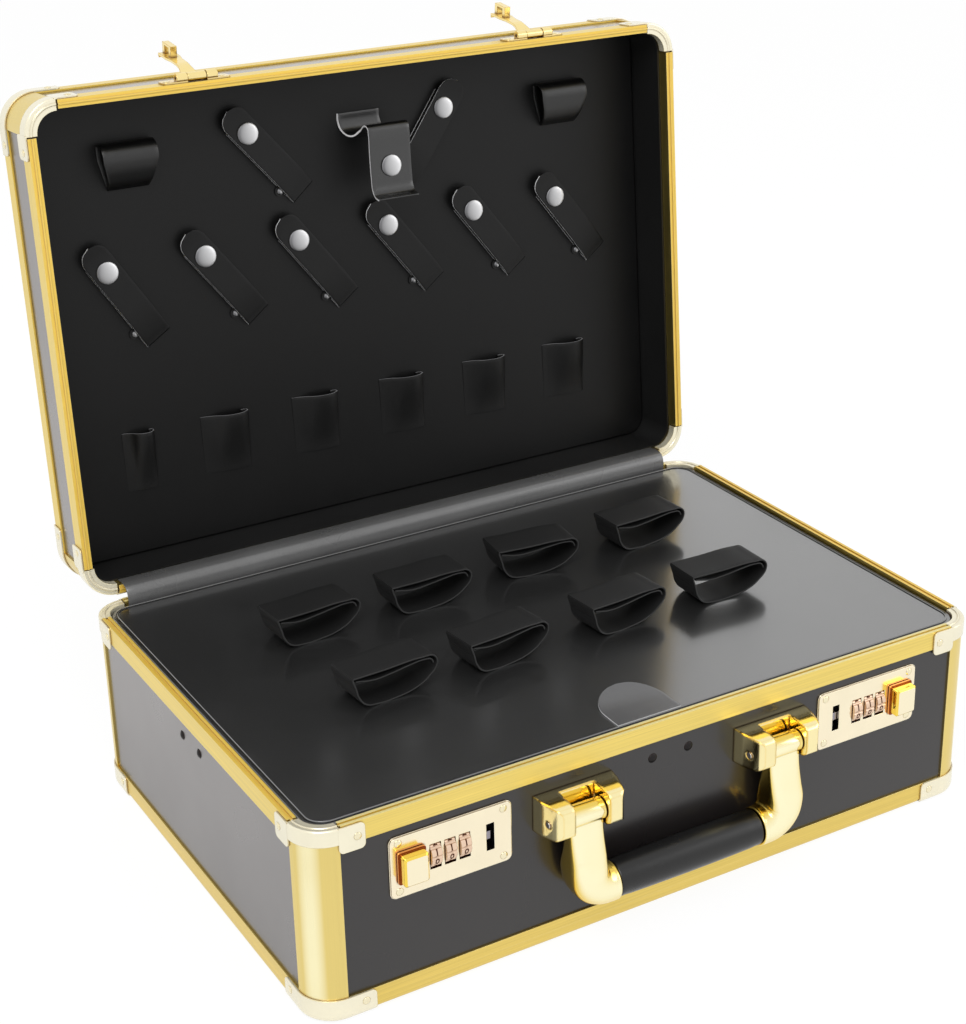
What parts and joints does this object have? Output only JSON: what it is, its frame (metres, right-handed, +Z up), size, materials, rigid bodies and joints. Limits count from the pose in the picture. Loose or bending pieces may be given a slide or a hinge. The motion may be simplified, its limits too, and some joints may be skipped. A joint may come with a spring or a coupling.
{
  "type": "hairdresser case",
  "caption": "Hard tool case with a hinged lid, hasp and number-dial locks, swinging handle, lift-out tray with loops, and strap organiser in the lid.",
  "frame": {"origin": "middle of the bounding box's bottom with the lid open as in the picture; the case's own middle is 27.6 mm in front of it, and Z = 0 is the plane of the foot corners' undersides", "axes": "+Z is up, -Y is the front with the locks and the handle, +X is to the right seen from the front"},
  "size_m": [0.4626, 0.4161, 0.4547],
  "materials": {
    "gold_rail": "brushed, gold anodised",
    "gold_casting": "polished gold plate",
    "pale_gold_pressing": "satin pale gold plate",
    "black_laminate": "satin black laminate",
    "bright_steel": "polished",
    "leatherette": "soft sheen, fine grain",
    "dial_copper": "satin copper gold with dark numbers",
    "grip_black": "soft matt black",
    "black_metal": "satin black paint"
  },
  "bodies": {
    "base": {"base_front_panel": "black_laminate", "base_back_panel": "black_laminate", "base_side_panels": "black_laminate", "base_floor_panel": "black_laminate", "base_front_rim_rail": "gold_rail", "base_back_rim_rail": "gold_rail", "base_side_rim_rails": "gold_rail", "base_edge_rails": "gold_rail", "base_corner_posts": "gold_rail", "base_rim_corners": "pale_gold_pressing", "base_foot_corners": "pale_gold_pressing", "base_rivets": "pale_gold_pressing", "base_lining": "leatherette", "tray_brackets": "black_metal", "bracket_rivets": "black_metal", "hinge_base_leaf": "gold_rail", "hinge_pin": "bright_steel", "left_lock_plate": "pale_gold_pressing", "right_lock_plate": "pale_gold_pressing", "lock_housings": "bright_steel", "dial_axles": "bright_steel", "lock_rivets": "pale_gold_pressing", "left_handle_bracket": "gold_casting", "right_handle_bracket": "gold_casting", "handle_pins": "bright_steel", "hinge_cover_strip": "leatherette"},
    "handle": {"left_handle_arm": "gold_casting", "right_handle_arm": "gold_casting", "handle_grip": "grip_black"},
    "left_lock_slide": {"left_lock_slide": "gold_casting"},
    "right_lock_slide": {"right_lock_slide": "gold_casting"},
    "left_dial_1": {"left_dial_1": "dial_copper"},
    "left_dial_2": {"left_dial_2": "dial_copper"},
    "left_dial_3": {"left_dial_3": "dial_copper"},
    "right_dial_1": {"right_dial_1": "dial_copper"},
    "right_dial_2": {"right_dial_2": "dial_copper"},
    "right_dial_3": {"right_dial_3": "dial_copper"},
    "tray": {"tray_board": "leatherette", "tray_loops": "leatherette", "finger_flap": "leatherette"},
    "lid": {"lid_top_panel": "black_laminate", "lid_wall_panels": "black_laminate", "lid_rim_rails": "gold_rail", "lid_edge_rails": "gold_rail", "lid_corner_posts": "gold_rail", "lid_rim_corners": "pale_gold_pressing", "lid_top_corners": "pale_gold_pressing", "lid_rivets": "pale_gold_pressing", "organiser_board": "leatherette", "lid_lining": "leatherette", "tool_straps": "leatherette", "hook_strap": "leatherette", "corner_loops": "leatherette", "tool_sleeves": "leatherette", "strap_studs": "bright_steel", "hinge_lid_leaf": "gold_rail", "hasp_bases": "pale_gold_pressing", "hasp_pins": "bright_steel"},
    "left_hasp": {"left_hasp": "pale_gold_pressing"},
    "right_hasp": {"right_hasp": "pale_gold_pressing"}
  },
  "joints": [
    {"name": "lid_hinge", "type": "hinge", "parent": "base", "child": "lid", "pos_m": [0, 0.13174, 0.12265], "axis": [-1, 0, 0], "range_deg": [-94, 0], "deforming": ["hinge_cover_strip"]},
    {"name": "handle_swing", "type": "hinge", "parent": "base", "child": "handle", "pos_m": [0.002, -0.19606, 0.0885], "axis": [-1, 0, 0], "range_deg": [0, 90]},
    {"name": "tray_lift", "type": "slide", "parent": "base", "child": "tray", "axis": [0, 0, 1], "range_m": [0, 0.12]},
    {"name": "left_hasp_hinge", "type": "hinge", "parent": "lid", "child": "left_hasp", "pos_m": [-0.12, 0.15776, 0.44091], "axis": [-1, 0, 0], "range_deg": [-170, 0]},
    {"name": "right_hasp_hinge", "type": "hinge", "parent": "lid", "child": "right_hasp", "pos_m": [0.12, 0.15776, 0.44091], "axis": [-1, 0, 0], "range_deg": [-170, 0]},
    {"name": "left_lock_release", "type": "slide", "parent": "base", "child": "left_lock_slide", "axis": [-1, 0, 0], "range_m": [0, 0.0035], "stiffness_N_per_m": 400, "springref_m": -0.002},
    {"name": "right_lock_release", "type": "slide", "parent": "base", "child": "right_lock_slide", "axis": [1, 0, 0], "range_m": [0, 0.0035], "stiffness_N_per_m": 400, "springref_m": -0.002},
    {"name": "left_dial_1_turn", "type": "hinge", "parent": "base", "child": "left_dial_1", "pos_m": [-0.136, -0.17806, 0.0855], "axis": [1, 0, 0], "continuous": true},
    {"name": "left_dial_2_turn", "type": "hinge", "parent": "base", "child": "left_dial_2", "pos_m": [-0.145, -0.17806, 0.0855], "axis": [1, 0, 0], "continuous": true},
    {"name": "left_dial_3_turn", "type": "hinge", "parent": "base", "child": "left_dial_3", "pos_m": [-0.154, -0.17806, 0.0855], "axis": [1, 0, 0], "continuous": true},
    {"name": "right_dial_1_turn", "type": "hinge", "parent": "base", "child": "right_dial_1", "pos_m": [0.136, -0.17806, 0.0855], "axis": [1, 0, 0], "continuous": true},
    {"name": "right_dial_2_turn", "type": "hinge", "parent": "base", "child": "right_dial_2", "pos_m": [0.145, -0.17806, 0.0855], "axis": [1, 0, 0], "continuous": true},
    {"name": "right_dial_3_turn", "type": "hinge", "parent": "base", "child": "right_dial_3", "pos_m": [0.154, -0.17806, 0.0855], "axis": [1, 0, 0], "continuous": true}
  ]
}
